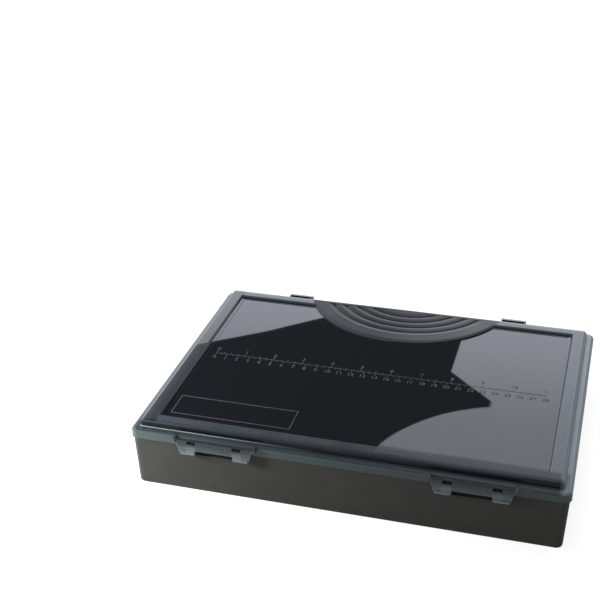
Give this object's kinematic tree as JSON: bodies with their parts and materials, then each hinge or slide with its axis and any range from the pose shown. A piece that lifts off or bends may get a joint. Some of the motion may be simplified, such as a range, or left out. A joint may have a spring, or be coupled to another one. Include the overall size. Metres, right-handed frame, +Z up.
{
  "type": "fishing tackle box",
  "caption": "Flat lidded tackle box: drafted tray with partitions and loose dividers, smoke lid with sunk window, ruler and ribbed fan grip, rear hinges, front latches.",
  "frame": {"origin": "centre of the closed box's underside", "axes": "+X along the long side to the right, -Y towards the latches, +Z up"},
  "size_m": [0.34, 0.2594, 0.0575],
  "materials": {
    "tray_olive": "semi-matte olive grey plastic",
    "lid_smoke": "smoke-tinted translucent plastic with a polished window",
    "latch_clear": "light smoke-tinted clear plastic",
    "pin_steel": "bright drawn steel",
    "divider_grey": "semi-matte grey plastic"
  },
  "bodies": {
    "tray": {"tray": "tray_olive", "hinge_pin_left": "pin_steel", "hinge_pin_right": "pin_steel", "divider_left_1": "divider_grey", "divider_left_2": "divider_grey", "divider_left_3": "divider_grey", "divider_left_4": "divider_grey", "divider_left_5": "divider_grey", "divider_middle_1": "divider_grey", "divider_middle_2": "divider_grey", "divider_middle_3": "divider_grey", "divider_middle_4": "divider_grey", "divider_right_1": "divider_grey", "divider_right_2": "divider_grey", "divider_right_3": "divider_grey", "divider_right_4": "divider_grey", "divider_right_5": "divider_grey"},
    "lid": {"lid": "lid_smoke", "latch_pins_left": "pin_steel", "latch_pins_right": "pin_steel"},
    "latch_left": {"latch_left": "latch_clear"},
    "latch_right": {"latch_right": "latch_clear"}
  },
  "joints": [
    {"name": "lid_hinge", "type": "hinge", "parent": "tray", "child": "lid", "pos_m": [0, 0.1276, 0.045], "axis": [-1, 0, 0], "range_deg": [0, 110]},
    {"name": "latch_left_pivot", "type": "hinge", "parent": "lid", "child": "latch_left", "pos_m": [-0.0993, -0.1272, 0.0493], "axis": [-1, 0, 0], "range_deg": [0, 110]},
    {"name": "latch_right_pivot", "type": "hinge", "parent": "lid", "child": "latch_right", "pos_m": [0.0993, -0.1272, 0.0493], "axis": [-1, 0, 0], "range_deg": [0, 110]}
  ]
}
